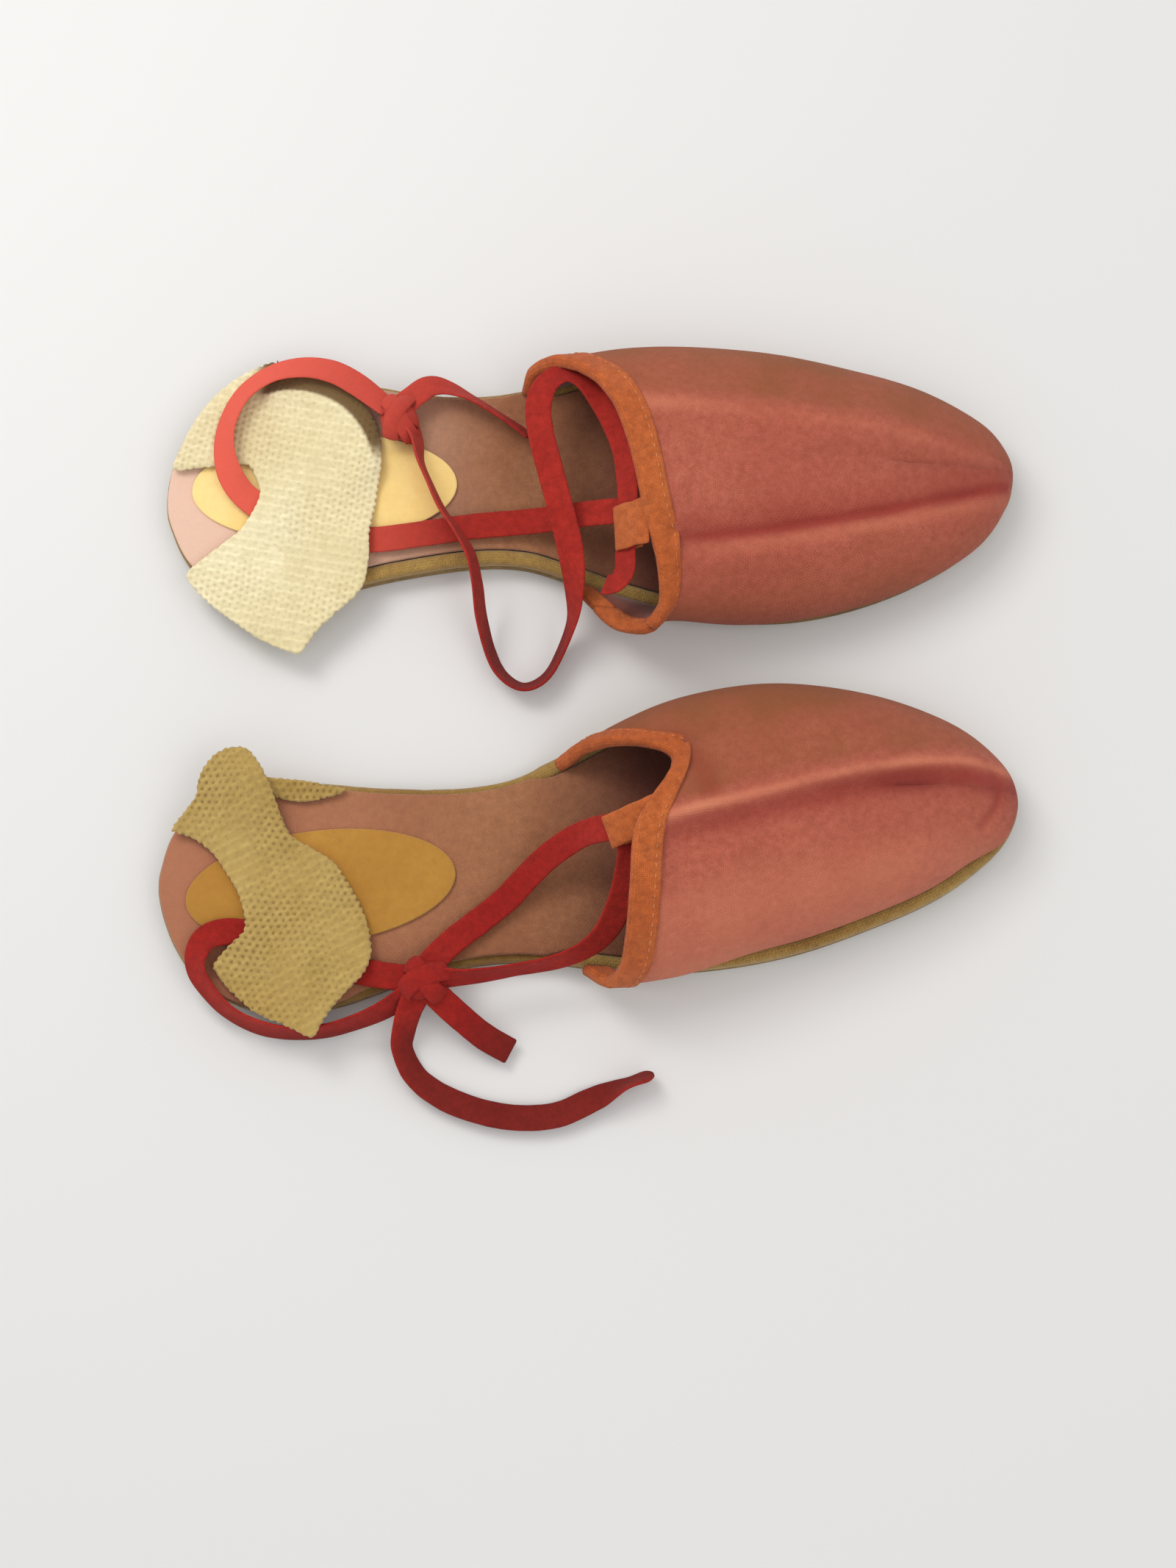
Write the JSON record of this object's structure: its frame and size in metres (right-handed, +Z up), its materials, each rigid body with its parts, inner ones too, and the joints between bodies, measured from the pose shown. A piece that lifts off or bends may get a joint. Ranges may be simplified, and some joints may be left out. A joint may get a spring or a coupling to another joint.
{
  "type": "tie-on bathing shoes",
  "caption": "Tie-on fabric bathing shoes: bound canvas toe uppers on thin flat soles, tape ties through throat loops, fold-down knitted heel slings.",
  "frame": {"origin": "centre of the pair's box, tapes left out, at floor height under the soles", "axes": "+X towards the toes, +Y towards the left shoe, +Z up"},
  "size_m": [0.2499, 0.2279, 0.0412],
  "materials": {
    "sole_rubber": "thin moulded rubber, matte, scuffed",
    "edge_cloth": "olive-yellow cloth strip rolled round the sole's edge",
    "filler_board": "pressed fibre filler, hidden",
    "insole_cloth": "faded pink-tan cotton sock lining",
    "pad_felt": "thin yellow felt",
    "canvas": "salmon-pink cotton canvas, matte, creased",
    "lining_cloth": "plain cotton lining",
    "binding_tape": "orange cotton binding tape, twill",
    "tie_tape": "red woven cotton tape",
    "cotton_knit": "cream open-mesh cotton knit"
  },
  "bodies": {
    "left_shoe": {"left_outsole": "sole_rubber", "left_edge_band": "edge_cloth", "left_midsole": "filler_board", "left_insole": "insole_cloth", "left_heel_pad": "pad_felt", "left_vamp": "canvas", "left_vamp_lining": "lining_cloth", "left_topline_binding": "binding_tape", "left_throat_tab": "binding_tape", "left_tie_knot": "tie_tape", "left_heel_tape": "tie_tape", "left_loop_tape": "tie_tape", "left_bow_end": "tie_tape"},
    "left_sling": {"left_heel_sling": "cotton_knit"},
    "right_shoe": {"right_outsole": "sole_rubber", "right_edge_band": "edge_cloth", "right_midsole": "filler_board", "right_insole": "insole_cloth", "right_heel_pad": "pad_felt", "right_vamp": "canvas", "right_vamp_lining": "lining_cloth", "right_topline_binding": "binding_tape", "right_throat_tab": "binding_tape", "right_tie_knot": "tie_tape", "right_upper_strap": "tie_tape", "right_lower_strap": "tie_tape", "right_heel_tape": "tie_tape"},
    "right_sling": {"right_heel_sling": "cotton_knit"},
    "right_short_tie": {"right_short_end": "tie_tape"},
    "right_long_tie": {"right_long_end": "tie_tape"}
  },
  "joints": [
    {"name": "shoes_apart", "type": "slide", "parent": "left_shoe", "child": "right_shoe", "axis": [0, -1, 0], "range_m": [0, 0.1]},
    {"name": "left_sling_lift", "type": "hinge", "parent": "left_shoe", "child": "left_sling", "pos_m": [-0.06493, 0.05503, 0.0105], "axis": [-0.0305, 0.9995, 0], "range_deg": [0, 50], "deforming": ["left_heel_tape"]},
    {"name": "right_sling_lift", "type": "hinge", "parent": "right_shoe", "child": "right_sling", "pos_m": [-0.06481, -0.0562, 0.0105], "axis": [-0.1167, 0.9932, 0], "range_deg": [0, 50], "deforming": ["right_heel_tape"]},
    {"name": "short_end_swing", "type": "hinge", "parent": "right_shoe", "child": "right_short_tie", "pos_m": [-0.047, -0.08784, 0.0126], "axis": [0, 0, 1], "range_deg": [-15, 12]},
    {"name": "long_end_swing", "type": "hinge", "parent": "right_shoe", "child": "right_long_tie", "pos_m": [-0.047, -0.08784, 0.0126], "axis": [0, 0, 1], "range_deg": [-12, 10]}
  ]
}
